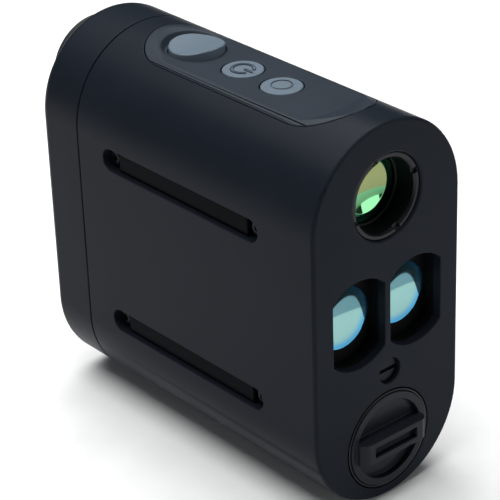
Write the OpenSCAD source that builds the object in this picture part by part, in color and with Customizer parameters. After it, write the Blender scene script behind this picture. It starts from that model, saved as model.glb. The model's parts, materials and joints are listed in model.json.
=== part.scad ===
// Compact laser rangefinder, millimetres, +Z up, front windows facing -Y.
// Origin: middle of the length and width, at the lowest point of the round underside.
// Inside local(), y is the depth behind the front face and z is measured from mid-height.

/* [Body] */
// Width across the two flat sides
body_w = 40; // [39.5:0.1:41]
// Height over the two round ends
body_h = 85.5; // [85:0.5:88]
// Length of the body, from the front face to the rear face
body_l = 88; // [88:0.5:90]
// Length of the rear cover
cover_l = 13.4; // [13:0.1:13.8]
// Thickness of the side walls
wall = 1.8; // [1.6:0.1:1.9]
// Thickness of the front and rear walls
end_wall = 2.2; // [2:0.1:2.3]
// Rounding of the front edge
front_edge_r = 0.8; // [0.4:0.1:1.2]
// Rounding of the rear edge
rear_edge_r = 2.5; // [1:0.5:3]

/* [Deck and buttons] */
// Half width of the top panel, and radius of its round ends
panel_r = 10.25; // [10:0.05:10.4]
// Depth of the front end of the top panel
panel_front = 7.4; // [7:0.1:8]
// Depth of the rear end of the top panel
panel_rear = 69; // [68.5:0.1:70]
// Drop of the flat deck below the crest of the body
deck_drop = 2; // [1.8:0.1:2.1]
// Radius of the measuring button
range_r = 6; // [5.8:0.1:6.1]
// Radius of the power and mode buttons
small_r = 4.4; // [4:0.1:4.5]
// Depth of the measuring button's centre
range_y = 57.4; // [57:0.1:57.6]
// Depth of the power button's centre
power_y = 42.6; // [42.3:0.1:42.9]
// Depth of the mode button's centre
mode_y = 30.6; // [30.3:0.1:30.9]
// Travel of each button
button_travel = 0.5; // [0.3:0.05:0.6]

/* [Optics] */
// Height of the viewing axis above mid-height
view_z = 26.6; // [26.4:0.1:26.8]
// Radius of the objective's hole in the front wall
objective_r = 9.25; // [9.2:0.05:9.4]
// Half the distance between the two laser windows' centres
window_x = 7.8; // [7.8:0.05:7.85]
// Height of the laser windows' centres above mid-height
window_z = 0.8; // [0.5:0.1:1]
// Radius of the round top and bottom of a laser window
window_r = 9.95; // [9.8:0.05:10]
// Half width of a laser window between its flats
window_half = 7.02; // [7:0.01:7.03]
// Radius of the laser lenses
laser_lens_r = 7; // [6.8:0.05:7]
// Depth of a laser lens's rim
laser_lens_y = 5; // [4.8:0.1:5.2]
// Outer radius of the rubber eyecup
eyecup_r = 12; // [11.9:0.1:12.2]
// How far the eyecup stands behind the rear face
eyecup_proud = 6; // [6:0.1:6.5]

/* [Battery bay] */
// Height of the battery's axis above mid-height
battery_z = -29.1; // [-29.2:0.1:-28.8]
// Outer radius of the metal collar
collar_r = 11.35; // [11.2:0.05:11.4]
// Radius of the battery cell
cell_r = 7.8; // [7.5:0.1:7.8]
// Length of the battery cell
cell_l = 27; // [26:0.1:27]
// Length of the grip bar on the battery cap
bar_l = 18.4; // [17:0.1:19]
// Width of the grip bar
bar_w = 4.9; // [4.4:0.1:5.2]
// How far the grip bar stands in front of the front face
bar_proud = 2.5; // [1.5:0.1:3]

/* [Side slots] */
// Depth of the front end of the slots
slot_front = 16.2; // [16:0.1:17]
// Length of the slots
slot_l = 49.8; // [48:0.1:50]
// Height of the slots
slot_h = 5; // [4.8:0.1:5.1]
// Height of the upper slots above mid-height
slot_top_z = 19.6; // [19.4:0.1:19.8]
// Height of the lower slots above mid-height
slot_bottom_z = -19.3; // [-19.4:0.1:-19.2]

/* [Hidden] */
$fn = 96;

corner_r = body_w / 2;
arc_z = body_h / 2 - corner_r;
mid_z = body_h / 2;
total_l = bar_proud + body_l + eyecup_proud;
front_y = bar_proud - total_l / 2;
inner_r = corner_r - wall;
part_y = body_l - cover_l;
seam = 0.3;
deck_z = arc_z + corner_r - deck_drop;

// Top panel and button stack, heights above mid-height
panel_gap = 0.15;
panel_under_z = deck_z - 1.8;
ledge_w = 1.25;
button_gap = 0.25;
flange_w = 0.9;
flange_top_z = panel_under_z - 0.1;
flange_t = 0.6;
board_top_z = flange_top_z - flange_t - button_travel - 0.8;
board_t = 0.8;
post_x = 6;
post_ys = [36.6, 49.3];
range_low_z = deck_z + 1;
range_dish_r = 25;
range_dish_y = 58.2;
ramp_r = 24;
ramp_front_y = 14.1;
ramp_rear_y = 59;
crest_rise = 2.5;
well_r = range_r + 0.9;

// Side slots
slot_d = 2.6;
slot_back = 1.4;
strip_end_gap = 4.2;
strip_sink = 1.1;
strip_h = 4.5;
strip_screw_in = 2.1;

// Fasteners
cover_screw_at = [[16, 9.5], [-16, 9.5], [11.5, -34.5], [-11.5, -34.5]];
boss_r = 2.4;
boss_front = 64;
chassis_screw_at = [[13.2, 32], [-13.2, 32], [13.2, 59], [-13.2, 59]];
main_screw_at = [[11, 46], [-11, 46], [11, 57], [-11, 57]];
screw_gap = 0.05;

// Chassis shelves, heights above mid-height
upper_shelf = [14.2, 15.6];
lower_shelf = [-12.8, -11.4];
shelf_front = 12;
shelf_rear = 68.6;
shelf_half = 15.5;

// Viewing channel
view_tube_r = 9.4;
ring_r = objective_r - 0.2;
ring_bore = 7.9;
ring_mouth = 8.35;
ring_y0 = 0.5;
lens_r = 8.2;
prism_front = 44;
prism_rear = 68.5;
prism_half = 7.4;
display_y = [69.4, 70.4];
eye_tube_r = 10.8;
eye_bore = 9.6;
cell_tube_r = eye_bore - 0.05;
eye_lens_r = 8.45;

// Laser channels
laser_z = 0.5;
laser_wall = 0.95;
laser_side_wall = 0.73;
laser_rear = 27;
baffle_ys = [2.7, 3.4, 4.1];
baffle_w = 0.3;
baffle_d = 0.2;
diode_r = 2.8;
board_y = 30;
small_board_t = 1.2;

// Main board
main_board_z = -9.5;
main_board_t = 1.2;
main_board_y = [41, 66];
main_board_half = 13;

// Battery bay
cap_r = 10.6;
cap_front = -0.3;
seat_y = 1.6;
collar_bore = 9.9;
skirt_r = collar_bore - 0.07;
pocket_r = 8.9;
pocket_floor = 1.1;
cap_disc_y = 3.2;
tube_r = 9.2;
tube_bore = 8.1;
tube_y = [7.2, 39];
cell_y = 9.4;
wire_r = 0.4;

// Purge screw and tripod socket
purge_x = 0.5;
purge_z = -13.1;
purge_recess_r = 2.9;
tripod_y = 50;
tripod_bore = 2.65;
tripod_depth = 6;
tripod_flange = [0.8, 1.6];

module local() {
    translate([0, front_y, mid_z]) children();
}

module at_xz(x, z) {
    translate([x, 0, z]) children();
}

// Cylinder along Y between two depths
module rod_y(r, from, to) {
    translate([0, to, 0]) rotate([90, 0, 0]) cylinder(r = r, h = to - from);
}

// Upright cylinder between two heights
module rod_z(r, x, y, from, to) {
    translate([x, y, from]) cylinder(r = r, h = to - from);
}

module ring_y(r_out, r_in, from, to) {
    difference() {
        rod_y(r_out, from, to);
        rod_y(r_in, from - 1, to + 1);
    }
}

// Outline in X and Z carried along Y between two depths
module slab_y(from, to) {
    translate([0, to, 0]) rotate([90, 0, 0]) linear_extrude(to - from) children();
}

module block(x, y, z) {
    translate([x[0], y[0], z[0]]) cube([x[1] - x[0], y[1] - y[0], z[1] - z[0]]);
}

module body_outline(r) {
    for (side = [-1, 1]) translate([0, side * arc_z]) circle(r);
    square([2 * r, 2 * arc_z], center = true);
}

// Half section of the body: radius along X, depth along Y, with rounded corners
module half_section(r, from, to, front_r, rear_r) {
    difference() {
        translate([0, from]) square([r, to - from]);
        if (front_r > 0) difference() {
            translate([r - front_r, from - 1]) square([front_r + 1, front_r + 1]);
            translate([r - front_r, from + front_r]) circle(front_r);
        }
        if (rear_r > 0) difference() {
            translate([r - rear_r, to - rear_r]) square([rear_r + 1, rear_r + 1]);
            translate([r - rear_r, to - rear_r]) circle(rear_r);
        }
    }
}

// Solid body shape with a rounded front and rear edge
module body_solid(r, from, to, front_r, rear_r) {
    for (end = [-1, 1]) {
        translate([0, 0, end * arc_z]) rotate([-90, 0, 0])
            rotate_extrude() half_section(r, from, to, front_r, rear_r);
    }
    translate([0, 0, -arc_z]) linear_extrude(2 * arc_z) {
        for (side = [0, 1]) mirror([side, 0]) half_section(r, from, to, front_r, rear_r);
    }
}

module window_outline(side, grow) {
    intersection() {
        translate([side * window_x, window_z]) circle(window_r + grow);
        translate([side * window_x, window_z])
            square([2 * (window_half + min(grow, laser_side_wall)), 3 * window_r],
                center = true);
    }
}

module panel_outline(r) {
    for (y = [panel_front + panel_r, panel_rear - panel_r]) translate([0, y]) circle(r);
    translate([-r, panel_front + panel_r])
        square([2 * r, panel_rear - panel_front - 2 * panel_r]);
}

// Slot outline in depth and height, carried along X between two distances from the middle
module slot_prism(side, z, h, l, from, to) {
    translate([side < 0 ? -to : from, slot_front + slot_l / 2, z])
        rotate([90, 0, 90]) linear_extrude(to - from) {
            for (end = [-1, 1]) translate([end * (l - h) / 2, 0]) circle(d = h);
            square([l - h, h], center = true);
        }
}

module cross_head(x, y, z, r) {
    translate([x, y, z]) difference() {
        cylinder(r = r, h = 1.1);
        for (turn = [0, 90]) {
            rotate([0, 0, turn]) translate([0, 0, 1]) cube([r * 1.2, 0.5, 1], center = true);
        }
    }
}

module main_housing() color("#262a31") local() difference() {
    union() {
        difference() {
            body_solid(corner_r, 0, part_y, front_edge_r, 0);
            slab_y(end_wall, part_y + 1) body_outline(inner_r);
        }
        intersection() {
            slab_y(end_wall - 1, part_y) body_outline(corner_r - 1);
            housing_bosses();
        }
    }
    at_xz(0, view_z) rod_y(objective_r, -1, end_wall + 1);
    for (side = [-1, 1]) slab_y(-1, end_wall + 1) window_outline(side, 0);
    at_xz(0, battery_z) rod_y(collar_r + 0.05, -1, 8);
    at_xz(purge_x, purge_z) {
        rod_y(purge_recess_r, -1, 2);
        rod_y(1.05, 1, 6);
    }
    translate([0, 0, panel_under_z]) linear_extrude(10) panel_outline(panel_r);
    translate([0, 0, panel_under_z - 5]) linear_extrude(10) panel_outline(panel_r - ledge_w);
    for (side = [-1, 1], z = [slot_top_z, slot_bottom_z]) {
        slot_prism(side, z, slot_h, slot_l, corner_r - slot_d, corner_r + 1);
        strip_screw_holes(side, z);
    }
    for (at = cover_screw_at) at_xz(at[0], at[1]) rod_y(1.05, boss_front + 1, part_y + 1);
    for (at = chassis_screw_at) rod_z(0.95, at[0], at[1], 10, 15);
    rod_z(5.3, 0, tripod_y, -mid_z - 1, tripod_flange[1] - mid_z);
    rod_z(4, 0, tripod_y, -mid_z, tripod_flange[1] + tripod_depth - mid_z);
}

module strip_screw_holes(side, z) {
    for (y = [slot_front + strip_screw_in, slot_front + slot_l - strip_screw_in]) {
        translate([side * (corner_r - slot_d), y, z]) rotate([0, 90, 0])
            cylinder(r = 0.65, h = 2, center = true);
    }
}

module housing_bosses() {
    for (side = [-1, 1], z = [slot_top_z, slot_bottom_z]) {
        slot_prism(side, z, slot_h + 2.4, slot_l + 2.4,
            corner_r - slot_d - slot_back, corner_r);
    }
    at_xz(0, battery_z) rod_y(collar_r + 1.6, 1, 7);
    at_xz(purge_x, purge_z) rod_y(3.2, 1, 5);
    for (at = cover_screw_at) at_xz(at[0], at[1]) rod_y(boss_r, boss_front, part_y);
    for (at = chassis_screw_at) {
        outward = sign(at[0]);
        block([min(outward * 11.2, outward * corner_r), max(outward * 11.2, outward * corner_r)],
            [at[1] - 2, at[1] + 2], [9.2, upper_shelf[0]]);
    }
    rod_z(6.5, 0, tripod_y, -mid_z, tripod_flange[1] + tripod_depth + 1.5 - mid_z);
}

module rear_cover() color("#262a31") local() difference() {
    union() {
        difference() {
            body_solid(corner_r, part_y + seam, body_l, 0, rear_edge_r);
            slab_y(part_y, body_l - end_wall) body_outline(inner_r);
        }
        intersection() {
            slab_y(part_y + seam, body_l - 1) body_outline(corner_r - 1);
            for (at = cover_screw_at) at_xz(at[0], at[1]) rod_y(boss_r, part_y, body_l - 1);
        }
    }
    at_xz(0, view_z) rod_y(eye_tube_r + 0.2, part_y, body_l + 1);
    for (at = cover_screw_at) at_xz(at[0], at[1]) {
        rod_y(1.15, part_y, body_l + 1);
        rod_y(2.05, body_l - 1.4, body_l + 1);
    }
}

module cover_gasket() color("#101113") local() difference() {
    slab_y(part_y, part_y + seam) body_outline(corner_r - 0.45);
    slab_y(part_y - 1, part_y + 1) body_outline(inner_r + 0.1);
    for (at = cover_screw_at) at_xz(at[0], at[1]) rod_y(boss_r, part_y - 1, part_y + 1);
}

module cover_screws() color("#3b3e42") local() {
    for (at = cover_screw_at) at_xz(at[0], at[1]) {
        rod_y(1, boss_front + 2, body_l - 1);
        difference() {
            rod_y(1.95, body_l - 1.4, body_l - 0.3);
            for (turn = [0, 90]) translate([0, body_l - 0.3, 0]) rotate([0, turn, 0])
                cube([2.4, 1, 0.55], center = true);
        }
    }
}

// The flat deck, the ramps up to the crest at both ends and the well of the big button
module deck_cut() {
    top = corner_r - deck_drop + crest_rise;
    front_slope = (ramp_front_y - panel_front) / deck_drop;
    rear_slope = (panel_rear - 1.6 - ramp_rear_y) / deck_drop;
    translate([0, 0, arc_z]) intersection() {
        translate([0, ramp_front_y + ramp_r, corner_r - deck_drop])
            cylinder(r1 = ramp_r, r2 = ramp_r + front_slope * crest_rise, h = crest_rise);
        translate([0, ramp_rear_y - ramp_r, corner_r - deck_drop])
            cylinder(r1 = ramp_r, r2 = ramp_r + rear_slope * crest_rise, h = crest_rise);
    }
    translate([0, range_y, deck_z])
        cylinder(r1 = well_r, r2 = well_r + 0.7 * crest_rise, h = crest_rise);
}

module top_panel() color("#30353c") local() difference() {
    union() {
        intersection() {
            slab_y(1, body_l) body_outline(corner_r);
            translate([0, 0, panel_under_z])
                linear_extrude(10) panel_outline(panel_r - panel_gap);
        }
        for (x = [-post_x, post_x], y = post_ys) rod_z(1.4, x, y, board_top_z, panel_under_z + 1);
    }
    deck_cut();
    rod_z(range_r + button_gap, 0, range_y, panel_under_z - 1, deck_z + 5);
    for (y = [power_y, mode_y]) {
        rod_z(small_r + button_gap, 0, y, panel_under_z - 1, deck_z + 5);
    }
    for (x = [-post_x, post_x], y = post_ys) rod_z(0.85, x, y, board_top_z - 1, board_top_z + 2.6);
}

module button_base(r, y) {
    rod_z(r + flange_w, 0, y, flange_top_z - flange_t, flange_top_z);
}

module range_button() color("#6c7881") local() {
    button_base(range_r, range_y);
    difference() {
        rod_z(range_r, 0, range_y, flange_top_z - flange_t, deck_z + 2.4);
        translate([0, range_dish_y, range_low_z + range_dish_r]) rotate([0, 90, 0])
            cylinder(r = range_dish_r, h = 4 * range_r, center = true, $fn = 200);
    }
}

module power_button() color("#6c7881") local() {
    button_base(small_r, power_y);
    difference() {
        rod_z(small_r, 0, power_y, flange_top_z - flange_t, deck_z + 0.15);
        translate([0, power_y, deck_z]) {
            difference() {
                cylinder(r = 2.6, h = 1);
                translate([0, 0, -1]) cylinder(r = 2.1, h = 3);
                translate([-1, -4, -1]) cube([2, 4, 3]);
            }
            translate([-0.25, -2.9, 0]) cube([0.5, 2.4, 1]);
        }
    }
}

module mode_button() color("#6c7881") local() {
    button_base(small_r, mode_y);
    rod_z(small_r, 0, mode_y, flange_top_z - flange_t, deck_z + 0.1);
    rod_z(2.2, 0, mode_y, deck_z, deck_z + 0.3);
}

module button_board() color("#1f5a38") local() difference() {
    block([-7.5, 7.5], [24, 65], [board_top_z - board_t, board_top_z]);
    for (x = [-post_x, post_x], y = post_ys) rod_z(0.9, x, y, board_top_z - 2, board_top_z + 1);
}

module button_board_screws() color("#9a9da1") local() {
    for (x = [-post_x, post_x], y = post_ys) {
        rod_z(0.8, x, y, board_top_z - board_t, board_top_z + 2.4);
        mirror([0, 0, 1]) rod_z(1.4, x, y, board_t - board_top_z, board_t - board_top_z + 0.8);
    }
}

module tact_switches() color("#b9bcbf") local() {
    for (y = [range_y, power_y, mode_y]) {
        block([-2.2, 2.2], [y - 2.2, y + 2.2], [board_top_z, board_top_z + 0.4]);
        rod_z(1.2, 0, y, board_top_z + 0.4, board_top_z + 0.6);
    }
}

module button_flex() color("#b5702a") local() {
    block([5, 10.95], [61.5, 64.5], [board_top_z, board_top_z + 0.15]);
    block([10.8, 10.95], [61.5, 64.5], [main_board_z + main_board_t, board_top_z]);
}

module side_strip(side, z) {
    mid = slot_front + slot_l / 2;
    strip_l = slot_l - 2 * strip_end_gap;
    outer = corner_r - strip_sink;
    inner = corner_r - slot_d;
    translate([side * (outer + inner) / 2, mid, z])
        cube([outer - inner, strip_l, strip_h], center = true);
}

module left_upper_strip() color("#191b1f") local() side_strip(-1, slot_top_z);
module left_lower_strip() color("#191b1f") local() side_strip(-1, slot_bottom_z);
module right_upper_strip() color("#191b1f") local() side_strip(1, slot_top_z);
module right_lower_strip() color("#191b1f") local() side_strip(1, slot_bottom_z);

module strip_screws() color("#2e3034") local() {
    ends = [slot_front + strip_screw_in, slot_front + slot_l - strip_screw_in];
    for (side = [-1, 1], z = [slot_top_z, slot_bottom_z], y = ends) {
        translate([side * (corner_r - slot_d), y, z]) rotate([0, side * 90, 0]) {
            translate([0, 0, -0.9]) cylinder(r = 0.6, h = 1);
            difference() {
                cylinder(r = 1.4, h = 0.9);
                translate([0, 0, 0.5]) cylinder(r = 0.75, h = 1, $fn = 6);
            }
        }
    }
}

module chassis() color("#4a4d52") local() difference() {
    union() {
        block([-shelf_half, shelf_half], [4, shelf_rear], upper_shelf);
        block([-shelf_half, shelf_half], [shelf_front, shelf_rear], lower_shelf);
        for (side = [-1, 1]) {
            block([side * 10 - 2, side * 10 + 2], [67, shelf_rear], [-12, 15]);
            block([side * 14.2 - 0.8, side * 14.2 + 0.8], [36, 39], [-12, 15]);
        }
        for (y = [8, 36]) block([-7, 7], [y, y + 4], [15, 22]);
        for (y = [46, 62]) block([-9, 9], [y, y + 3], [15, view_z - 8.6]);
        for (side = [-1, 1]) {
            block([side * window_x - 4, side * window_x + 4], [14, 18], [6, 15]);
            block([side * window_x - 4, side * window_x + 4], [14, 18], [-12, -5]);
        }
        for (y = [14, 30]) block([-6, 6], [y, y + 4], [battery_z + 5, -12]);
        for (at = main_screw_at) rod_z(1.8, at[0], at[1], -12, main_board_z);
    }
    at_xz(0, view_z) rod_y(view_tube_r, 0, 42);
    for (side = [-1, 1]) slab_y(0, 20) window_outline(side, laser_wall);
    at_xz(0, battery_z) rod_y(tube_r, 0, 40);
    for (at = chassis_screw_at) rod_z(1.1, at[0], at[1], 14, 16);
    for (at = main_screw_at) rod_z(0.8, at[0], at[1], -11, main_board_z + 1);
    block([10.4, 11.4], [61, 65], [14, 16]);
}

module chassis_screws() color("#9a9da1") local() {
    for (at = chassis_screw_at) {
        rod_z(0.9, at[0], at[1], 10.4, upper_shelf[1]);
        cross_head(at[0], at[1], upper_shelf[1], 1.7);
    }
}

module objective_barrel() color("#17181a") local() at_xz(0, view_z) difference() {
    rod_y(view_tube_r, end_wall, prism_front);
    rod_y(8.25, end_wall - 1, 9.8);
    rod_y(7.2, 9, prism_front + 1);
    for (y = [13 : 3 : 40]) rod_y(7.6, y, y + 1.5);
}

module objective_retaining_ring() color("#2b2f36") local() at_xz(0, view_z) difference() {
    ring_y(ring_r, ring_bore, ring_y0, end_wall);
    translate([0, ring_y0, 0]) rotate([-90, 0, 0])
        cylinder(r1 = ring_mouth, r2 = ring_bore, h = ring_mouth - ring_bore);
    for (turn = [69 : 90 : 339]) rotate([0, turn, 0]) translate([ring_mouth, ring_y0, 0])
        cube([1.1, 1.6, 1.4], center = true);
}

module objective_spacer() color("#17181a") local() at_xz(0, view_z)
    ring_y(8.2, ring_bore, end_wall, 5.4);

module objective_o_ring() color("#0c0c0d") local() at_xz(0, view_z)
    rotate([-90, 0, 0]) rotate_extrude() translate([7.75, 5.73]) circle(0.33, $fn = 24);

// Lens between two depths of its rim; front_r and rear_r are the curvature radii, 0 for flat
module lens(r, rim, front_r, rear_r) {
    front_sag = front_r > 0 ? front_r - sqrt(front_r * front_r - r * r) : 0;
    rear_sag = rear_r > 0 ? rear_r - sqrt(rear_r * rear_r - r * r) : 0;
    first = rim[0] - front_sag;
    last = rim[1] + rear_sag;
    rotate([-90, 0, 0]) rotate_extrude() intersection() {
        translate([0, first]) square([r, last - first]);
        if (front_r > 0) translate([0, first + front_r]) circle(front_r, $fn = 720);
        if (rear_r > 0) translate([0, last - rear_r]) circle(rear_r, $fn = 720);
    }
}

module objective_front_lens() color("#7fae4a") local() at_xz(0, view_z)
    lens(lens_r, [6.2, 8], 35, 0);

module objective_rear_lens() color("#5d7f45") local() at_xz(0, view_z)
    rod_y(lens_r, 8, 9.8);

module prism_housing() color("#232427") local() at_xz(0, view_z) difference() {
    block([-10.5, 10.5], [prism_front, prism_rear], [-8.6, 8.6]);
    block([-9.3, 9.3], [prism_front + 1.2, prism_rear - 1.2], [-prism_half, prism_half]);
    rod_y(7, prism_front - 1, prism_front + 2);
    rod_y(5.5, prism_rear - 2, prism_rear + 1);
}

module prism(points) {
    translate([-9.3, 0, view_z]) rotate([90, 0, 90]) linear_extrude(18.6) polygon(points);
}

module entry_prism() color("#cfe3ea") local()
    prism([[45.3, prism_half], [45.3, -prism_half], [48.5, -prism_half], [55, prism_half]]);

module roof_prism() color("#cfe3ea") local()
    prism([[55.8, prism_half], [49.3, -prism_half], [67.2, -prism_half], [67.2, 3],
        [63, prism_half]]);

module display_frame() color("#1a1b1d") local() at_xz(0, view_z) difference() {
    block([-9, 9], [prism_rear, 70.5], [-8, 8]);
    block([-7.55, 7.55], [display_y[0], 71], [-6.55, 6.55]);
    block([-5.5, 5.5], [68, 71], [-4.5, 4.5]);
    block([-4.2, 4.2], [69.1, 71], [-9, -5.8]);
}

module display_glass() color("#9fb4bb") local() at_xz(0, view_z)
    block([-7.5, 7.5], display_y, [-6.5, 6.5]);

module display_flex() color("#b5702a") local() {
    block([-4, 4], [62, display_y[0]], [-7.2, -7.05]);
    block([-4, 4], [display_y[0] - 0.15, display_y[0]], [-7.2, view_z - 6]);
}

module eyepiece_barrel() color("#17181a") local() at_xz(0, view_z) {
    ring_y(eye_tube_r, eye_bore, 70.5, 90.2);
    ring_y(12.6, eye_bore, body_l - end_wall - 1.5, body_l - end_wall);
}

module eyepiece_o_ring() color("#0c0c0d") local() at_xz(0, view_z)
    ring_y(eye_tube_r + 0.2, eye_tube_r, body_l - 1.6, body_l - 0.8);

module eye_lens_cell() color("#1d1e20") local() at_xz(0, view_z) difference() {
    rod_y(cell_tube_r, 80, 91);
    rod_y(eye_lens_r + 0.02, 81, 92);
    rod_y(7.8, 79, 82);
}

module field_lens() color("#b9cdd2") local() at_xz(0, view_z)
    lens(eye_lens_r, [81, 83.2], 0, 40);

module eye_lens() color("#b9cdd2") local() at_xz(0, view_z)
    lens(eye_lens_r, [88.3, 89.5], 30, 30);

module diopter_ring() color("#1d1f22") local() at_xz(0, view_z) difference() {
    rod_y(eyecup_r - 0.1, body_l + 0.25, 91.2);
    rod_y(eye_tube_r + 0.06, body_l, 90.3);
    rod_y(9.75, 90, 92);
    for (turn = [0 : 10 : 350]) rotate([0, turn, 0]) at_xz(eyecup_r + 0.25, 0)
        rod_y(0.6, body_l, 90.6);
}

module eyecup() color("#121314") local() at_xz(0, view_z) rotate([-90, 0, 0]) {
    last = body_l + eyecup_proud;
    rotate_extrude() {
        translate([9.75, 91.2]) square([eyecup_r - 9.75, 1.4]);
        translate([eyecup_r - 1.3, 91.2]) square([1.3, last - 91.2 - 0.65]);
        translate([eyecup_r - 0.65, last - 0.65]) circle(0.65, $fn = 24);
    }
}

module laser_barrel(side) {
    difference() {
        slab_y(end_wall, laser_rear) window_outline(side, laser_wall);
        slab_y(end_wall - 1, laser_lens_y) window_outline(side, 0);
        for (y = baffle_ys) slab_y(y, y + baffle_w) window_outline(side, baffle_d);
        at_xz(side * window_x, laser_z) {
            rod_y(laser_lens_r + 0.02, laser_lens_y - 1, laser_lens_y + 2.4);
            rod_y(6.3, laser_lens_y, laser_rear - 1.4);
            rod_y(diode_r + screw_gap, laser_rear - 2, laser_rear + 1);
        }
    }
}

module laser_lens(side) {
    at_xz(side * window_x, laser_z)
        lens(laser_lens_r, [laser_lens_y, laser_lens_y + 2.4], 16, 0);
}

// Metal can with a flange and three legs
module can_device(side) {
    at_xz(side * window_x, laser_z) {
        rod_y(diode_r, laser_rear - 1.4, laser_rear);
        rod_y(3.8, laser_rear, laser_rear + 1);
        for (turn = [0 : 120 : 240]) rotate([0, turn, 0]) at_xz(1.3, 0)
            rod_y(0.25, laser_rear + 1, board_y);
    }
}

module small_board(side) {
    block([side * window_x - 6.5, side * window_x + 6.5], [board_y, board_y + small_board_t],
        [laser_z - 6, laser_z + 6]);
}

module emitter_barrel() color("#141517") local() laser_barrel(-1);
module receiver_barrel() color("#141517") local() laser_barrel(1);
module emitter_lens() color("#5fb6c9") local() laser_lens(-1);
module receiver_lens() color("#5fb6c9") local() laser_lens(1);
module laser_diode() color("#c8a24a") local() can_device(-1);
module photodiode() color("#b9bcbf") local() can_device(1);
module emitter_board() color("#1f5a38") local() small_board(-1);
module receiver_board() color("#1f5a38") local() small_board(1);

module receiver_filter() color("#5a2d33") local() at_xz(window_x, laser_z) rod_y(6.3, 20, 21);

module pulse_capacitor() color("#2c3a5c") local() at_xz(-window_x, laser_z)
    rod_y(3, board_y + small_board_t, 39.2);

module receiver_shield() color("#c3c6c9") local() at_xz(window_x, laser_z) difference() {
    back = board_y + small_board_t;
    block([-5, 5], [back, back + 3], [-5, 5]);
    block([-4.7, 4.7], [back - 1, back + 2.7], [-4.7, 4.7]);
}

module main_board() color("#1f5a38") local() difference() {
    block([-main_board_half, main_board_half], main_board_y,
        [main_board_z, main_board_z + main_board_t]);
    for (at = main_screw_at) rod_z(0.9, at[0], at[1], main_board_z - 1, main_board_z + 2);
}

module main_board_screws() color("#9a9da1") local() {
    top = main_board_z + main_board_t;
    for (at = main_screw_at) {
        rod_z(0.75, at[0], at[1], main_board_z - 1.4, top);
        cross_head(at[0], at[1], top, 1.5);
    }
}

// Processor, memory, display connector and a row of small capacitors
module board_components() color("#15161a") local() {
    top = main_board_z + main_board_t;
    block([-5, 5], [44, 54], [top, top + 1.2]);
    block([-4.5, 4.5], [60, 64], [top, -7.2]);
    block([-11, -7.5], [49.5, 53.5], [top, top + 1]);
    for (x = [6.5 : 1.6 : 9.7]) block([x, x + 0.8], [49, 50.6], [top, top + 0.8]);
}

module battery_collar() color("#33373d") local() at_xz(0, battery_z) difference() {
    union() {
        rod_y(collar_r - 0.22, 0, 1);
        rod_y(collar_r, 0.7, 7);
    }
    rod_y(cap_r + 0.12, -1, seat_y);
    rod_y(collar_bore, 0, 8);
}

module battery_cap() color("#2b2f36") local() at_xz(0, battery_z) difference() {
    union() {
        difference() {
            rod_y(cap_r, cap_front, seat_y - 0.1);
            rod_y(pocket_r, cap_front - 1, pocket_floor);
        }
        rod_y(skirt_r, pocket_floor, 6.6);
        grip_bar();
    }
    rod_y(8.7, cap_disc_y, 7);
    ring_y(skirt_r + 1, 9.05, 3.6, 4.8);
    block([-5.9, 5.9], [-bar_proud - 1, 0.2 - bar_proud / 2], [-1.2, 1.2]);
}

module grip_bar() {
    end_r = 2;
    inner_l = bar_l / 2 - end_r;
    block([-inner_l, inner_l], [-bar_proud, pocket_floor + 0.2], [-bar_w / 2, bar_w / 2]);
    block([-bar_l / 2, bar_l / 2], [end_r - bar_proud, pocket_floor + 0.2],
        [-bar_w / 2, bar_w / 2]);
    for (end = [-1, 1]) rod_z(end_r, end * inner_l, end_r - bar_proud, -bar_w / 2, bar_w / 2);
}

module cap_o_ring() color("#0c0c0d") local() at_xz(0, battery_z)
    rotate([-90, 0, 0]) rotate_extrude() translate([9.43, 4.2]) circle(0.37, $fn = 24);

// Conical coil: each ring of points is a section of the wire
function coil_point(t, turns, r0, r1, l) =
    let (r = r0 + (r1 - r0) * t) [r * cos(360 * turns * t), l * t, r * sin(360 * turns * t)];
function coil_ring(t, turns, r0, r1, l, wire, sides) =
    let (a = 360 * turns * t, c = coil_point(t, turns, r0, r1, l))
    [for (i = [0 : sides - 1]) let (b = 360 * i / sides)
        c + wire * [cos(a) * cos(b), sin(b), sin(a) * cos(b)]];

module coil(turns, r0, r1, l, wire) {
    sides = 8;
    steps = turns * 16;
    points = [for (s = [0 : steps]) each coil_ring(s / steps, turns, r0, r1, l, wire, sides)];
    walls = [for (s = [0 : steps - 1], i = [0 : sides - 1])
        [(s + 1) * sides + i, (s + 1) * sides + (i + 1) % sides,
            s * sides + (i + 1) % sides, s * sides + i]];
    first = [for (i = [0 : sides - 1]) i];
    last = [for (i = [sides - 1 : -1 : 0]) steps * sides + i];
    polyhedron(points, concat([first], walls, [last]), convexity = 4);
}

module cap_spring() color("#c8b36a") local() at_xz(0, battery_z) {
    rod_y(6, cap_disc_y, cap_disc_y + 0.3);
    translate([0, cap_disc_y + 0.3 + wire_r / 2, 0])
        coil(4, 5.2, 3.4, cell_y - cap_disc_y - 0.5 - 1.5 * wire_r, wire_r);
}

module battery_tube() color("#1c1d20") local() at_xz(0, battery_z) difference() {
    rod_y(tube_r, tube_y[0], tube_y[1]);
    rod_y(tube_bore, tube_y[0] - 1, tube_y[1] - 1.6);
    rod_y(4, tube_y[1] - 2, tube_y[1] + 1);
}

module battery() color("#a87b3e") local() at_xz(0, battery_z) {
    rod_y(cell_r, cell_y, cell_y + cell_l);
    rod_y(3, cell_y + cell_l, cell_y + cell_l + 0.9);
}

module purge_screw() color("#202328") local() at_xz(purge_x, purge_z) difference() {
    union() {
        rod_y(2.65, 0.9, 2);
        rod_y(1, 1.5, 5);
    }
    block([-3, 3], [0, 1.5], [-0.4, 0.4]);
}

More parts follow.
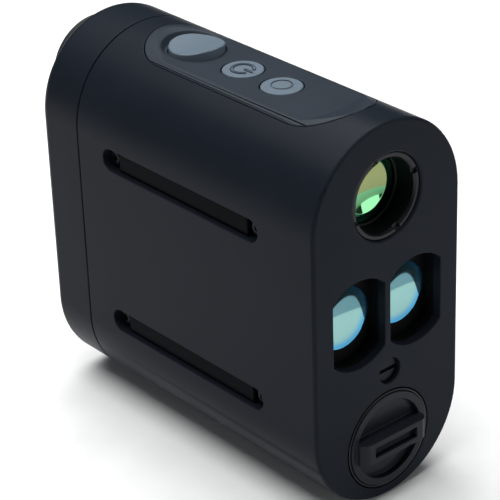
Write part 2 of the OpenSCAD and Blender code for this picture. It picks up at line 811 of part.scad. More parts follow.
module tripod_insert() color("#8d9095") local() difference() {
    union() {
        rod_z(5.2, 0, tripod_y, tripod_flange[0] - mid_z, tripod_flange[1] - mid_z);
        rod_z(3.95, 0, tripod_y, tripod_flange[0] - mid_z, tripod_flange[1] + tripod_depth - mid_z);
    }
    rod_z(tripod_bore, 0, tripod_y, -mid_z - 1, tripod_depth - mid_z);
}

main_housing();
rear_cover();
cover_gasket();
cover_screws();
top_panel();
range_button();
power_button();
mode_button();
button_board();
button_board_screws();
tact_switches();
button_flex();
left_upper_strip();
left_lower_strip();
right_upper_strip();
right_lower_strip();
strip_screws();
chassis();
chassis_screws();
objective_barrel();
objective_retaining_ring();
objective_spacer();
objective_o_ring();
objective_front_lens();
objective_rear_lens();
prism_housing();
entry_prism();
roof_prism();
display_frame();
display_glass();
display_flex();
eyepiece_barrel();
eyepiece_o_ring();
eye_lens_cell();
field_lens();
eye_lens();
diopter_ring();
eyecup();
emitter_barrel();
emitter_lens();
laser_diode();
emitter_board();
pulse_capacitor();
receiver_barrel();
receiver_lens();
receiver_filter();
photodiode();
receiver_board();
receiver_shield();
main_board();
main_board_screws();
board_components();
battery_collar();
battery_cap();
cap_o_ring();
cap_spring();
battery_tube();
battery();
purge_screw();
tripod_insert();
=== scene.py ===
"""Compact laser rangefinder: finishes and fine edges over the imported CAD, in a small studio."""

import json
import math

import bmesh
import bpy
from mathutils import Matrix, Vector

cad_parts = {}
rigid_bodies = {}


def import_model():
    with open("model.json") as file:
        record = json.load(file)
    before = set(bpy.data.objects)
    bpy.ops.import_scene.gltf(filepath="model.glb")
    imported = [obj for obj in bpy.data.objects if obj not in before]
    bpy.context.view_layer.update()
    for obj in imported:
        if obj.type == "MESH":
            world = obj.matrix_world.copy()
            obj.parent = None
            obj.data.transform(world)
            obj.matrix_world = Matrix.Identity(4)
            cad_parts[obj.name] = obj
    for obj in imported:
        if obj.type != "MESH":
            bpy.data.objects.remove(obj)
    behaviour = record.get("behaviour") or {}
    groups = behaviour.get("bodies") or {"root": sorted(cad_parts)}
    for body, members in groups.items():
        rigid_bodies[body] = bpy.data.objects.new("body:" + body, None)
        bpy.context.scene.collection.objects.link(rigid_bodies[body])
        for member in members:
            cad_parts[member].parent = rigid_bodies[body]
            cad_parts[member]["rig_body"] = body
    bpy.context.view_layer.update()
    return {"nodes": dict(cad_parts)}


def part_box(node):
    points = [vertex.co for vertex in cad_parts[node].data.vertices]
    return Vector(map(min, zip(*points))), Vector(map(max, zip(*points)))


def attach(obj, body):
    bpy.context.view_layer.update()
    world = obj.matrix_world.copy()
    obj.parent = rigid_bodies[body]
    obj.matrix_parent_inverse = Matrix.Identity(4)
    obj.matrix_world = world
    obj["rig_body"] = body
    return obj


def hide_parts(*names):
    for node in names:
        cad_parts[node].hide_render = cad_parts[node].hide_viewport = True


bl_info = {
    "name": "Laser rangefinder",
    "version": (1, 0, 0),
    "blender": (4, 5, 0),
    "location": "3D View > Sidebar > Rangefinder",
    "description": "Builds the finished pieces of a compact laser rangefinder",
    "category": "Object",
}

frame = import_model()

MM = 0.001

# Edges that turn more than this are rounded
SHARP = math.radians(35)
# Turns over this stay sharp on the deck, so that its sloping margin reads as a flat
DECK_SHARP = math.radians(12)
# Points closer than this are one point, and facets flatter than this are one face
WELD = 0.002 * MM
FLAT = math.radians(0.4)
# Faces across a wide rounding, and the nearness that puts a point on the front face
WIDE_SEGMENTS = 5
ON_FRONT = 0.01 * MM
# Radii between which the rim of the objective's hole lies
MOUTH_FROM = 8 * MM
MOUTH_TO = 10 * MM

# Size of the faint cloudiness in moulded and turned surfaces, and of the wander in the line across
# the lenses' painted reflection
MOULDED_CLOUD = 14 * MM
TURNED_CLOUD = 6 * MM
REFLECTION_WANDER_SIZE = 6 * MM
DUST_SIZE = 0.8 * MM
# How much a turned surface's gloss varies, and the wave scale that gives one ring per pitch
TURNED_SPREAD = 0.07
RING_SCALE = 0.3
# Half the width of the soft line between the two zones of a lens's painted reflection, and how far
# that line wanders
REFLECTION_LINE_SOFT = 0.25 * MM
REFLECTION_LINE_WANDER = 0.6 * MM
GLASS_IOR = 1.52
BRICK_SIZE = 4 * MM
MASK_RELIEF = 0.05 * MM

# Radius of each outer lens's domed front in the CAD frame, in millimetres
LENS_FRONT = {"objective_front_lens": 35, "emitter_lens": 16, "receiver_lens": 16}
LENS_BEVEL = 0.15 * MM
LENS_RINGS = 24
LENS_STEPS = 96
LENS_SHARP = math.radians(30)
# Curvature and radius of the coated dish that shows in each kind of lens
OBJECTIVE_CURVE = 14 * MM
OBJECTIVE_DISH = 5.7 * MM
LASER_CURVE = 24 * MM
LASER_DISH = 6.8 * MM
# Height over the lens's axis of the line between the painted reflection's lighter lower zone and
# darker upper zone
OBJECTIVE_REFLECTION_SPLIT = -1.2 * MM
LASER_REFLECTION_SPLIT = 0.6 * MM
# Radii over which the painted reflection turns to its painted rim colour
OBJECTIVE_REFLECTION_RIM = (5.6 * MM, 5.75 * MM)
LASER_REFLECTION_RIM = (4.9 * MM, 6.7 * MM)

# The camera's direction in degrees, its place, and its lens and sensor in millimetres
CAMERA_AZIMUTH = -39.93
CAMERA_ELEVATION = 27.881
CAMERA_ROLL = -2.051
CAMERA_PLACE = (-0.2631, -0.31765, 0.25845)
CAMERA_LENS = 155.84
CAMERA_SENSOR = 36
# Point that the lights face, and each light's name, place, width, depth and power in watts
LIT_POINT = (0, 0, 0.04)
SOFTBOXES = (
    ("overhead_softbox", (0.0, 0.12, 0.6), 0.7, 0.7, 7.4),
    ("left_softbox", (-0.8, -0.05, 0.5), 0.4, 0.4, 0.5),
    ("front_softbox", (0.4, -0.85, 0.22), 0.6, 0.5, 2.3),
)
ROOM_STRENGTH = 0.2
PAPER_STRENGTH = 0.9
FLOOR_GRAIN = 2 * MM


def linear(hex_colour):
    """sRGB hex colour as linear red, green and blue."""
    parts = [int(hex_colour[i : i + 2], 16) / 255 for i in (1, 3, 5)]
    return tuple(
        c / 12.92 if c <= 0.04045 else ((c + 0.055) / 1.055) ** 2.4 for c in parts
    )


def colour(name, default, description):
    return bpy.props.FloatVectorProperty(
        name=name,
        description=description,
        subtype="COLOR",
        size=3,
        min=0,
        max=1,
        default=linear(default),
    )


def length(name, millimetres, description):
    return bpy.props.FloatProperty(
        name=name,
        description=description,
        unit="LENGTH",
        min=0,
        precision=5,
        default=millimetres * MM,
    )


class RangefinderSizes(bpy.types.PropertyGroup):
    """Edge roundings, surface grain and studio sizes."""

    shell_edge: length("Shell edge", 0.22, "Rounding of the housing's hole and slot edges")
    deck_edge: length("Deck edge", 0.18, "Rounding of the top panel's edges")
    mouth_edge: length("Mouth edge", 0.5, "Rounding of the objective's hole")
    button_edge: length("Button edge", 0.34, "Rounding of the button rims")
    cap_edge: length("Cap edge", 0.22, "Rounding of the battery cap and its grip bar")
    trim_edge: length("Trim edge", 0.14, "Rounding of strips, rings and screws")
    armour_grain: length("Armour grain", 0.22, "Spacing of the soft-touch coat's grain")
    plastic_grain: length("Plastic grain", 0.12, "Spacing of the moulded spark texture")
    turning_pitch: length("Turning pitch", 0.09, "Spacing of the lathe marks on turned metal")
    floor_side: length("Floor side", 6000, "Side of the square floor")


class RangefinderColours(bpy.types.PropertyGroup):
    """Colours of the finishes."""

    armour: colour("Armour", "#191E25", "Soft-touch coat of the housing and rear cover")
    deck: colour("Deck", "#262D35", "Moulded top panel")
    keys: colour("Keys", "#57646F", "Silicone button caps")
    trim: colour("Trim", "#0B0E12", "Polished side strips")
    cap: colour("Cap", "#1E2228", "Satin battery cap")
    matt_black: colour("Matt black", "#0B0C0E", "Light-trap barrels and inner mouldings")
    anodised: colour("Anodised", "#15181C", "Black anodised rings and collar")
    blued_steel: colour("Blued steel", "#1A1C20", "Black oxide screws")
    steel: colour("Steel", "#B9BBBE", "Plain steel screws and inserts")
    rubber: colour("Rubber", "#0D0E0F", "Nitrile seals and eyecup")
    # The six lens colours below are the coating's tint with a painted reflection: lighter for the
    # lower zone, darker for the upper zone, and a painted rim colour where that reflection ends.
    green_coat_lower_reflection: colour("Green coat", "#6FB07D", "Objective lens coating, lower zone")
    olive_upper_reflection: colour("Olive coat", "#899463", "Objective lens coating, upper zone")
    green_reflection_rim: colour("Green edge", "#14523A", "Objective lens coating towards the rim")
    cyan_coat_lower_reflection: colour("Cyan coat", "#8AB6B3", "Laser lens coating, lower zone")
    teal_upper_reflection: colour("Teal coat", "#5F8A92", "Laser lens coating, upper zone")
    blue_reflection_rim: colour("Blue edge", "#4C9FCC", "Laser lens coating towards the rim")
    clear_glass: colour("Clear glass", "#E6F0F2", "Prisms, display and eye lenses")
    board: colour("Board", "#17603A", "Solder mask")
    track: colour("Track", "#2E8A57", "Copper tracks under the solder mask")
    film: colour("Film", "#B5702A", "Polyimide flex film")
    epoxy: colour("Epoxy", "#15161A", "Chip packages")
    tin: colour("Tin", "#C9CBCD", "Tinned shields and switches")
    gold: colour("Gold", "#D9B45A", "Gold plated cans")
    wrap: colour("Cell wrap", "#7A4A22", "Printed sleeve of the battery cell")
    sleeve: colour("Sleeve", "#22335E", "Shrink sleeve of the capacitor")
    bronze: colour("Bronze", "#C7A558", "Phosphor bronze spring")
    floor: colour("Floor", "#FCFCFC", "Studio floor")
    sky: colour("Sky", "#6B7076", "Dim room around the studio")


def add(tree, kind, settings=None, **inputs):
    """Adds a node; each input is a plain value or an output socket to link from.

    An input goes by its name, with _ for a space, or by s and its number."""
    node = tree.nodes.new(kind)
    for name, value in (settings or {}).items():
        setattr(node, name, value)
    for name, value in inputs.items():
        numbered = name[1:].isdigit()
        socket = node.inputs[int(name[1:]) if numbered else name.replace("_", " ")]
        if isinstance(value, bpy.types.NodeSocket):
            tree.links.new(value, socket)
        else:
            socket.default_value = value
    return node


def start_material(name):
    material = bpy.data.materials.new(name)
    material.use_nodes = True
    tree = material.node_tree
    tree.nodes.clear()
    place = add(tree, "ShaderNodeTexCoord").outputs["Object"]
    return material, tree, place


def rgba(tint, factor=1.0):
    return (*(min(1.0, c * factor) for c in tint), 1.0)


def two_tone(tree, amount, tint, low, high):
    """Colour that wanders between a darker and a lighter value of one tint."""
    mix = add(
        tree,
        "ShaderNodeMix",
        {"data_type": "RGBA"},
        Factor=amount,
        s6=rgba(tint, low),
        s7=rgba(tint, high),
    )
    return mix.outputs[2]


def finish_material(tree, **sockets):
    shader = add(tree, "ShaderNodeBsdfPrincipled", None, **sockets)
    add(tree, "ShaderNodeOutputMaterial", None, Surface=shader.outputs["BSDF"])


def moulded(name, tint, roughness, grain, depth=0.15, specular=0.5, spread=0.06):
    """Moulded or coated surface: fine grain, faint cloudiness in colour and gloss."""
    material, tree, place = start_material(name)
    fine = add(
        tree, "ShaderNodeTexNoise", None, Vector=place, Scale=1 / grain, Detail=2.0
    ).outputs[0]
    cloud = add(
        tree, "ShaderNodeTexNoise", None, Vector=place, Scale=1 / MOULDED_CLOUD, Detail=3.0
    ).outputs[0]
    rough = add(
        tree,
        "ShaderNodeMapRange",
        None,
        Value=cloud,
        s3=roughness - spread,
        s4=roughness + spread,
    ).outputs[0]
    relief = add(
        tree, "ShaderNodeBump", None, Strength=depth, Distance=grain, Height=fine
    ).outputs[0]
    finish_material(
        tree,
        Base_Color=two_tone(tree, cloud, tint, 0.9, 1.12),
        Roughness=rough,
        Specular_IOR_Level=specular,
        Normal=relief,
    )
    return material


def turned(name, tint, roughness, pitch, metallic=1.0, depth=0.08):
    """Turned or drawn metal: fine rings and a slight change of gloss."""
    material, tree, place = start_material(name)
    rings = add(
        tree,
        "ShaderNodeTexWave",
        {"wave_type": "BANDS", "bands_direction": "Y"},
        Vector=place,
        Scale=RING_SCALE / pitch,
        Distortion=0.6,
        Detail=1.0,
    ).outputs[1]
    cloud = add(
        tree, "ShaderNodeTexNoise", None, Vector=place, Scale=1 / TURNED_CLOUD, Detail=4.0
    ).outputs[0]
    rough = add(
        tree,
        "ShaderNodeMapRange",
        None,
        Value=cloud,
        s3=roughness - TURNED_SPREAD,
        s4=roughness + TURNED_SPREAD,
    ).outputs[0]
    relief = add(
        tree, "ShaderNodeBump", None, Strength=depth, Distance=pitch / 2, Height=rings
    ).outputs[0]
    finish_material(
        tree,
        Base_Color=two_tone(tree, cloud, tint, 0.88, 1.1),
        Metallic=metallic,
        Roughness=rough,
        Normal=relief,
    )
    return material


def coating_with_painted_reflection(name, bright, dim, rim, middle, split, inner, outer):
    """Coloured mirror coating with a painted reflection: a lighter lower zone, a darker upper zone
    and a painted bluer or greener rim.

    The painted rim colour comes in between the radii inner and outer; lenses on either side of the
    middle plane share one material."""
    material, tree, place = start_material(name)
    spot = add(tree, "ShaderNodeSeparateXYZ", None, s0=place)
    film = add(
        tree, "ShaderNodeTexNoise", None, Vector=place, Scale=1 / REFLECTION_WANDER_SIZE, Detail=1.0
    ).outputs[0]
    # The painted reflection's two zones part along a soft line that climbs a little across the
    # lens, wandering with the noise.
    height = add(
        tree,
        "ShaderNodeMath",
        {"operation": "MULTIPLY_ADD"},
        s0=film,
        s1=REFLECTION_LINE_WANDER,
        s2=spot.outputs[2],
    ).outputs[0]
    zone = add(
        tree,
        "ShaderNodeMapRange",
        {"interpolation_type": "SMOOTHSTEP"},
        Value=height,
        s1=middle.z + split - REFLECTION_LINE_SOFT,
        s2=middle.z + split + REFLECTION_LINE_SOFT,
    ).outputs[0]
    painted_reflection_zones = add(
        tree,
        "ShaderNodeMix",
        {"data_type": "RGBA"},
        Factor=zone,
        s6=rgba(bright),
        s7=rgba(dim),
    ).outputs[2]
    # Painted rim colour: by distance from the lens's axis the painted reflection turns to the rim
    # tint.
    folded = add(tree, "ShaderNodeVectorMath", {"operation": "ABSOLUTE"}, s0=place).outputs[0]
    flat = add(
        tree, "ShaderNodeVectorMath", {"operation": "MULTIPLY"}, s0=folded, s1=(1, 0, 1)
    ).outputs[0]
    reach = add(
        tree,
        "ShaderNodeVectorMath",
        {"operation": "DISTANCE"},
        s0=flat,
        s1=(abs(middle.x), 0, middle.z),
    ).outputs["Value"]
    edge = add(
        tree,
        "ShaderNodeMapRange",
        {"interpolation_type": "SMOOTHSTEP"},
        Value=reach,
        s1=inner,
        s2=outer,
    ).outputs[0]
    coat_and_painted_reflection = add(
        tree, "ShaderNodeMix", {"data_type": "RGBA"}, Factor=edge, s6=painted_reflection_zones, s7=rgba(rim)
    ).outputs[2]
    finish_material(tree, Base_Color=coat_and_painted_reflection, Metallic=0.95, Roughness=0.05)
    return material


def clear_glass(name, tint):
    """Polished optical glass, seen through, with a trace of dust in the gloss."""
    material, tree, place = start_material(name)
    dust = add(
        tree, "ShaderNodeTexNoise", None, Vector=place, Scale=1 / DUST_SIZE, Detail=3.0
    ).outputs[0]
    rough = add(tree, "ShaderNodeMapRange", None, Value=dust, s3=0.01, s4=0.05).outputs[0]
    finish_material(
        tree,
        Base_Color=two_tone(tree, dust, tint, 0.97, 1.0),
        Roughness=rough,
        IOR=GLASS_IOR,
        Transmission_Weight=1.0,
    )
    return material


def solder_mask(name, mask, track):
    """Circuit board: tracks under a glossy solder mask."""
    material, tree, place = start_material(name)
    lines = add(
        tree,
        "ShaderNodeTexBrick",
        {"offset": 0.37, "squash": 1.4},
        Vector=place,
        Color1=rgba(mask),
        Color2=rgba(mask, 0.85),
        Mortar=rgba(track),
        Scale=1 / BRICK_SIZE,
        Mortar_Size=0.03,
    )
    relief = add(
        tree,
        "ShaderNodeBump",
        None,
        Strength=0.2,
        Distance=MASK_RELIEF,
        Height=lines.outputs["Fac"],
    ).outputs[0]
    finish_material(tree, Base_Color=lines.outputs["Color"], Roughness=0.32, Normal=relief)
    return material


def centre_of(node):
    low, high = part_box(node)
    return (low + high) / 2


class Finishes:
    """Every material of the object, made once from the chosen colours."""

    def __init__(self, sizes, tints):
        # Polycarbonate shell under a soft-touch coat: dark bluish satin with a faint grain.
        self.armour = moulded(
            "soft_touch_coat", tints.armour, 0.34, sizes.armour_grain, 0.05, 0.042
        )
        # Moulded ABS with a spark texture: a little lighter and duller than the shell.
        self.deck = moulded("spark_textured_abs", tints.deck, 0.4, sizes.plastic_grain, 0.08, 0.1)
        # Silicone keys: matt grey-blue with a soft bloom.
        self.keys = moulded("silicone_keys", tints.keys, 0.45, sizes.plastic_grain, 0.08, 0.2)
        # Polished ABS of the side strips: nearly black, with a faint sharp sheen.
        self.trim = moulded(
            "polished_black_abs", tints.trim, 0.22, sizes.plastic_grain, 0.02, 0.012, 0.04
        )
        # Satin ABS of the battery cap: lighter and duller than the strips.
        self.cap = moulded("satin_abs", tints.cap, 0.3, sizes.plastic_grain, 0.04, 0.1)
        # Glass-filled nylon, sandblasted mould: light-trap black.
        self.matt_black = moulded(
            "glass_filled_nylon", tints.matt_black, 0.6, sizes.plastic_grain, 0.2, 0.1
        )
        # Nitrile rubber: dull black.
        self.rubber = moulded("nitrile_rubber", tints.rubber, 0.62, sizes.plastic_grain, 0.16, 0.35)
        # Black anodised aluminium: dark satin with faint lathe rings.
        self.anodised = turned(
            "black_anodised_aluminium", tints.anodised, 0.36, sizes.turning_pitch, 0.6
        )
        # Black oxide steel: dark grey metal sheen.
        self.blued_steel = turned("black_oxide_steel", tints.blued_steel, 0.34, sizes.turning_pitch)
        # Plain machine-screw steel.
        self.steel = turned("zinc_plated_steel", tints.steel, 0.3, sizes.turning_pitch)
        # Magnesium fluoride multilayers on crown glass: coloured mirrors with a painted reflection,
        # a lighter lower zone under a darker upper zone, and a painted rim colour.
        self.green_lens_painted_reflection = coating_with_painted_reflection(
            "green_coated_glass_painted_reflection",
            tints.green_coat_lower_reflection,
            tints.olive_upper_reflection,
            tints.green_reflection_rim,
            centre_of("objective_front_lens"),
            OBJECTIVE_REFLECTION_SPLIT,
            *OBJECTIVE_REFLECTION_RIM,
        )
        self.cyan_lens_painted_reflection = coating_with_painted_reflection(
            "cyan_coated_glass_painted_reflection",
            tints.cyan_coat_lower_reflection,
            tints.teal_upper_reflection,
            tints.blue_reflection_rim,
            centre_of("emitter_lens"),
            LASER_REFLECTION_SPLIT,
            *LASER_REFLECTION_RIM,
        )
        # Uncoated prism glass, clear and polished.
        self.clear_glass = clear_glass("clear_crown_glass", tints.clear_glass)
        # Glass epoxy laminate under green solder mask.
        self.board = solder_mask("green_solder_mask", tints.board, tints.track)
        # Amber polyimide film: thin, slightly glossy.
        self.film = moulded("polyimide_film", tints.film, 0.3, sizes.plastic_grain, 0.03)
        # Moulded chip epoxy: matt charcoal.
        self.epoxy = moulded("chip_epoxy", tints.epoxy, 0.55, sizes.plastic_grain, 0.12)
        # Tinned sheet steel: bright, faintly cloudy.
        self.tin = turned("tinned_steel", tints.tin, 0.25, sizes.turning_pitch)
        # Gold plate over nickel: warm and smooth.
        self.gold = turned("gold_plate", tints.gold, 0.2, sizes.turning_pitch)
        # PVC sleeve, shrunk on: glossy with a slight waviness.
        self.wrap = moulded("pvc_cell_sleeve", tints.wrap, 0.28, sizes.armour_grain, 0.05)
        self.sleeve = moulded("pvc_capacitor_sleeve", tints.sleeve, 0.28, sizes.armour_grain, 0.05)
        # Phosphor bronze wire: drawn, bright.
        self.bronze = turned("phosphor_bronze", tints.bronze, 0.24, sizes.turning_pitch)


finishes = None


def lens_rise(radius, curve):
    """Height of a spherical cap of that curvature over its rim."""
    return curve - math.sqrt(curve * curve - radius * radius)


def body_of(node):
    return frame["nodes"][node]["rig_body"]


def dress(node, material):
    """Gives a CAD node its finish; the mesh stays as it is."""
    mesh = frame["nodes"][node].data
    mesh.materials.clear()
    mesh.materials.append(material)


def settle(piece, keep_sharp):
    """Applies the piece's modifiers and sets its smooth shading."""
    bpy.context.view_layer.update()
    made = bpy.data.meshes.new_from_object(
        piece.evaluated_get(bpy.context.evaluated_depsgraph_get())
    )
    piece.modifiers.clear()
    piece.data = made
    made.shade_smooth()
    made.set_sharp_from_angle(angle=keep_sharp)


def edged(node, name, edge, material, segments=3, wide=None, merge=True, smooth=SHARP):
    """A copy of a CAD node with its sharp edges rounded, standing for that node.

    wide is a test for the edges that get a rounding of their own, and its size.
    merge joins the flat facets first, which a thin notched ring can't take.
    smooth is the largest turn that is shaded smoothly."""
    mesh = frame["nodes"][node].data.copy()
    shape = bmesh.new()
    shape.from_mesh(mesh)
    bmesh.ops.remove_doubles(shape, verts=shape.verts, dist=WELD)
    if merge:
        bmesh.ops.dissolve_limit(
            shape, angle_limit=FLAT, verts=shape.verts, edges=shape.edges
        )
    if wide:
        chosen, size = wide
        bmesh.ops.bevel(
            shape,
            geom=[line for line in shape.edges if chosen(line)],
            offset=size,
            offset_type="OFFSET",
            segments=WIDE_SEGMENTS,
            profile=0.5,
            affect="EDGES",
            clamp_overlap=False,
        )
    shape.to_mesh(mesh)
    shape.free()
    if "custom_normal" in mesh.attributes:
        mesh.attributes.remove(mesh.attributes["custom_normal"])
    mesh.name = name
    mesh.materials.clear()
    mesh.materials.append(material)
    piece = bpy.data.objects.new(name, mesh)
    bpy.context.scene.collection.objects.link(piece)
    bevel = piece.modifiers.new("rounded edges", "BEVEL")
    bevel.width = edge
    bevel.segments = segments
    bevel.limit_method = "ANGLE"
    bevel.angle_limit = SHARP
    # Clamping would shrink every rounding to suit the smallest facet
    bevel.use_clamp_overlap = False
    bevel.miter_outer = "MITER_ARC"
    settle(piece, smooth)
    even = piece.modifiers.new("even shading", "WEIGHTED_NORMAL")
    even.keep_sharp = True
    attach(piece, body_of(node))
    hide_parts(node)
    return piece


def coated_lens(node, name, curve, dish, material):
    """Lens whose coated rear face shows: a shallow dish seen from the front, with a flat margin."""
    low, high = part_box(node)
    middle = (low + high) / 2
    radius = (high.x - low.x) / 2
    rim = low.y + lens_rise(radius, LENS_FRONT[node] * MM)
    sag = lens_rise(dish, curve)
    steps = [dish * i / LENS_RINGS for i in range(LENS_RINGS + 1)]
    profile = [(r, rim + sag - lens_rise(r, curve)) for r in steps]
    profile += [(radius - LENS_BEVEL, rim), (radius, rim + LENS_BEVEL)]
    profile += [(radius, high.y), (0, high.y)]
    shape = bmesh.new()
    points = [shape.verts.new((middle.x + r, y, middle.z)) for r, y in profile]
    edges = [shape.edges.new(pair) for pair in zip(points, points[1:])]
    bmesh.ops.spin(
        shape,
        geom=points + edges,
        cent=(middle.x, 0, middle.z),
        axis=(0, 1, 0),
        angle=math.tau,
        steps=LENS_STEPS,
        use_duplicate=False,
    )
    bmesh.ops.remove_doubles(shape, verts=shape.verts, dist=WELD)
    bmesh.ops.recalc_face_normals(shape, faces=shape.faces)
    mesh = bpy.data.meshes.new(name)
    shape.to_mesh(mesh)
    shape.free()
    mesh.materials.append(material)
    mesh.shade_smooth()
    mesh.set_sharp_from_angle(angle=LENS_SHARP)
    piece = bpy.data.objects.new(name, mesh)
    bpy.context.scene.collection.objects.link(piece)
    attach(piece, body_of(node))
    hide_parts(node)
    return piece


def mouth_rim():
    """A test for the front edge of the objective's round hole."""
    middle = centre_of("objective_front_lens")
    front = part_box("main_housing")[0].y

    def chosen(line):
        return all(
            abs(corner.co.y - front) < ON_FRONT
            and MOUTH_FROM
            < math.hypot(corner.co.x - middle.x, corner.co.z - middle.z)
            < MOUTH_TO
            for corner in line.verts
        )

    return chosen


class RANGEFINDER_OT_housing(bpy.types.Operator):
    """Housing and rear cover with rounded hole and slot edges."""

    bl_idname = "rangefinder.housing"
    bl_label = "Housing and rear cover"

    def execute(self, context):
        sizes = context.scene.rangefinder_sizes
        edged(
            "main_housing",
            "housing_shell",
            sizes.shell_edge,
            finishes.armour,
            wide=(mouth_rim(), sizes.mouth_edge),
        )
        edged("rear_cover", "rear_shell", sizes.shell_edge, finishes.armour)
        dress("cover_gasket", finishes.rubber)
        return {"FINISHED"}


class RANGEFINDER_OT_deck(bpy.types.Operator):
    """Top panel and the three buttons."""

    bl_idname = "rangefinder.deck"
    bl_label = "Top panel and buttons"

    def execute(self, context):
        sizes = context.scene.rangefinder_sizes
        edged(
            "top_panel",
            "deck_panel",
            sizes.deck_edge,
            finishes.deck,
            smooth=DECK_SHARP,
        )
        for node in ("range_button", "power_button", "mode_button"):
            edged(node, node + "_cap", sizes.button_edge, finishes.keys, 4)
        return {"FINISHED"}


class RANGEFINDER_OT_trim(bpy.types.Operator):
    """Strips in the side slots and every outside screw."""

    bl_idname = "rangefinder.trim"
    bl_label = "Strips and screws"

    def execute(self, context):
        edge = context.scene.rangefinder_sizes.trim_edge
        for side in ("left", "right"):
            for level in ("upper", "lower"):
                node = f"{side}_{level}_strip"
                edged(node, node + "_bar", 2 * edge, finishes.trim)
        for node in ("strip_screws", "cover_screws", "purge_screw"):
            edged(node, node + "_set", edge / 2, finishes.blued_steel, 2)
        return {"FINISHED"}


class RANGEFINDER_OT_optics(bpy.types.Operator):
    """Objective, laser windows and eyepiece."""

    bl_idname = "rangefinder.optics"
    bl_label = "Optics"

    def execute(self, context):
        edge = context.scene.rangefinder_sizes.trim_edge
        edged(
            "objective_retaining_ring",
            "objective_ring",
            edge / 2,
            finishes.anodised,
            merge=False,
        )
        # The outer lenses, and the receiver filter further down, carry their coating's painted
        # reflection.
        coated_lens(
            "objective_front_lens",
            "objective_lens",
            OBJECTIVE_CURVE,
            OBJECTIVE_DISH,
            finishes.green_lens_painted_reflection,
        )
        for node in ("emitter_lens", "receiver_lens"):
            coated_lens(node, node + "_glass", LASER_CURVE, LASER_DISH, finishes.cyan_lens_painted_reflection)
        for node in (
            "objective_barrel",
            "objective_spacer",
            "eyepiece_barrel",
            "eye_lens_cell",
        ):
            dress(node, finishes.anodised)
        for node in ("emitter_barrel", "receiver_barrel", "prism_housing", "display_frame"):
            dress(node, finishes.matt_black)
        for node in (
            "objective_rear_lens",
            "entry_prism",
            "roof_prism",
            "display_glass",
            "field_lens",
            "eye_lens",
        ):
            dress(node, finishes.clear_glass)
        for node in ("objective_o_ring", "eyepiece_o_ring"):
            dress(node, finishes.rubber)
        dress("receiver_filter", finishes.cyan_lens_painted_reflection)
        edged("diopter_ring", "diopter_grip", edge, finishes.matt_black)
        edged("eyecup", "rubber_eyecup", edge, finishes.rubber)
        return {"FINISHED"}


class RANGEFINDER_OT_battery(bpy.types.Operator):
    """Battery cap, collar, spring, tube and cell."""

    bl_idname = "rangefinder.battery"
    bl_label = "Battery bay"

    def execute(self, context):
        sizes = context.scene.rangefinder_sizes
        edged("battery_cap", "cap_with_grip", sizes.cap_edge, finishes.cap)
        edged("battery_collar", "cap_collar", sizes.trim_edge, finishes.anodised)
        dress("cap_o_ring", finishes.rubber)
        dress("cap_spring", finishes.bronze)
        dress("battery_tube", finishes.matt_black)
        dress("battery", finishes.wrap)
        dress("tripod_insert", finishes.steel)
        return {"FINISHED"}


class RANGEFINDER_OT_inside(bpy.types.Operator):
    """Chassis, boards and small parts inside the housing."""

    bl_idname = "rangefinder.inside"
    bl_label = "Inner parts"

    def execute(self, context):
        dress("chassis", finishes.matt_black)
        for node in ("chassis_screws", "main_board_screws", "button_board_screws"):
            dress(node, finishes.steel)
        for node in ("button_board", "emitter_board", "receiver_board", "main_board"):
            dress(node, finishes.board)
        for node in ("button_flex", "display_flex"):
            dress(node, finishes.film)
        for node in ("tact_switches", "receiver_shield"):
            dress(node, finishes.tin)
        for node in ("laser_diode", "photodiode"):
            dress(node, finishes.gold)
        dress("pulse_capacitor", finishes.sleeve)
        dress("board_components", finishes.epoxy)
        return {"FINISHED"}


def softbox(name, place, target, width, depth, power):
    """Large soft area light turned towards a point."""
    light = bpy.data.lights.new(name, "AREA")
    light.shape = "RECTANGLE"
    light.size = width
    light.size_y = depth
    light.energy = power
    lamp = bpy.data.objects.new(name, light)
    lamp.location = place
    lamp.rotation_euler = (Vector(target) - Vector(place)).to_track_quat("-Z", "Y").to_euler()
    lamp.visible_camera = False
    bpy.context.scene.collection.objects.link(lamp)
    return lamp


def studio_camera():
    """Camera above the left front corner, looking down on the top and the left side."""
    azimuth = math.radians(CAMERA_AZIMUTH)
    elevation = math.radians(CAMERA_ELEVATION)
    roll = math.radians(CAMERA_ROLL)
    back = Vector(
        (
            math.sin(azimuth) * math.cos(elevation),
            -math.cos(azimuth) * math.cos(elevation),
            math.sin(elevation),
        )
    )
    right = Vector((0, 0, 1)).cross(back).normalized()
    up = back.cross(right)
    across = math.cos(roll) * right + math.sin(roll) * up
    upward = math.cos(roll) * up - math.sin(roll) * right
    place = Matrix((across, upward, back)).transposed().to_4x4()
    place.translation = Vector(CAMERA_PLACE)
    lens = bpy.data.cameras.new("studio_camera")
    lens.lens = CAMERA_LENS
    lens.sensor_width = CAMERA_SENSOR
    camera = bpy.data.objects.new("studio_camera", lens)
    camera.matrix_world = place
    bpy.context.scene.collection.objects.link(camera)
    bpy.context.scene.camera = camera


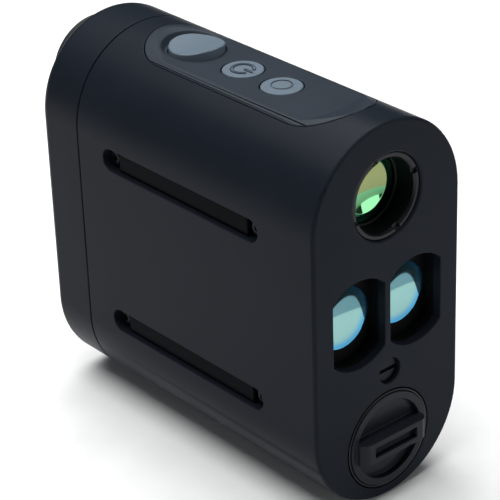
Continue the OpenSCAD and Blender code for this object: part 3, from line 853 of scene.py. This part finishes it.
class RANGEFINDER_OT_stage(bpy.types.Operator):
    """Pale floor, soft lights and the camera."""

    bl_idname = "rangefinder.stage"
    bl_label = "Studio"

    def execute(self, context):
        scene = context.scene
        tints = scene.rangefinder_colours
        half = scene.rangefinder_sizes.floor_side / 2
        shape = bmesh.new()
        bmesh.ops.create_grid(shape, x_segments=8, y_segments=8, size=half)
        mesh = bpy.data.meshes.new("studio_floor")
        shape.to_mesh(mesh)
        shape.free()
        # Painted board: even, matt and nearly white.
        mesh.materials.append(moulded("painted_board", tints.floor, 0.8, FLOOR_GRAIN, 0.02, 0.2))
        floor = bpy.data.objects.new("studio_floor", mesh)
        scene.collection.objects.link(floor)
        world = bpy.data.worlds.new("studio_room")
        world.use_nodes = True
        tree = world.node_tree
        tree.nodes.clear()
        # The dim room lights the object; what is seen past the floor's edge is as pale as it.
        seen = add(tree, "ShaderNodeLightPath").outputs["Is Camera Ray"]
        room, paper = (
            add(tree, "ShaderNodeBackground", None, Color=rgba(tint), Strength=strength)
            for tint, strength in ((tints.sky, ROOM_STRENGTH), (tints.floor, PAPER_STRENGTH))
        )
        both = add(
            tree,
            "ShaderNodeMixShader",
            None,
            s0=seen,
            s1=room.outputs[0],
            s2=paper.outputs[0],
        )
        add(tree, "ShaderNodeOutputWorld", None, Surface=both.outputs[0])
        scene.world = world
        for name, place, width, depth, power in SOFTBOXES:
            softbox(name, place, LIT_POINT, width, depth, power)
        studio_camera()
        scene.view_settings.view_transform = "Standard"
        return {"FINISHED"}


PIECES = (
    RANGEFINDER_OT_housing,
    RANGEFINDER_OT_deck,
    RANGEFINDER_OT_trim,
    RANGEFINDER_OT_optics,
    RANGEFINDER_OT_battery,
    RANGEFINDER_OT_inside,
    RANGEFINDER_OT_stage,
)


class RANGEFINDER_PT_panel(bpy.types.Panel):
    """Lists the pieces and their settings."""

    bl_label = "Laser rangefinder"
    bl_idname = "RANGEFINDER_PT_panel"
    bl_space_type = "VIEW_3D"
    bl_region_type = "UI"
    bl_category = "Rangefinder"

    def draw(self, context):
        for piece in PIECES:
            self.layout.operator(piece.bl_idname)
        for group in (context.scene.rangefinder_sizes, context.scene.rangefinder_colours):
            for name in group.__annotations__:
                self.layout.prop(group, name)


CLASSES = (RangefinderSizes, RangefinderColours, *PIECES, RANGEFINDER_PT_panel)


def register():
    for each in CLASSES:
        bpy.utils.register_class(each)
    bpy.types.Scene.rangefinder_sizes = bpy.props.PointerProperty(type=RangefinderSizes)
    bpy.types.Scene.rangefinder_colours = bpy.props.PointerProperty(type=RangefinderColours)


def unregister():
    del bpy.types.Scene.rangefinder_colours
    del bpy.types.Scene.rangefinder_sizes
    for each in reversed(CLASSES):
        bpy.utils.unregister_class(each)


def main():
    global finishes
    register()
    scene = bpy.context.scene
    finishes = Finishes(scene.rangefinder_sizes, scene.rangefinder_colours)
    bpy.ops.rangefinder.housing()
    bpy.ops.rangefinder.deck()
    bpy.ops.rangefinder.trim()
    bpy.ops.rangefinder.optics()
    bpy.ops.rangefinder.battery()
    bpy.ops.rangefinder.inside()
    bpy.ops.rangefinder.stage()


if __name__ == "__main__":
    main()
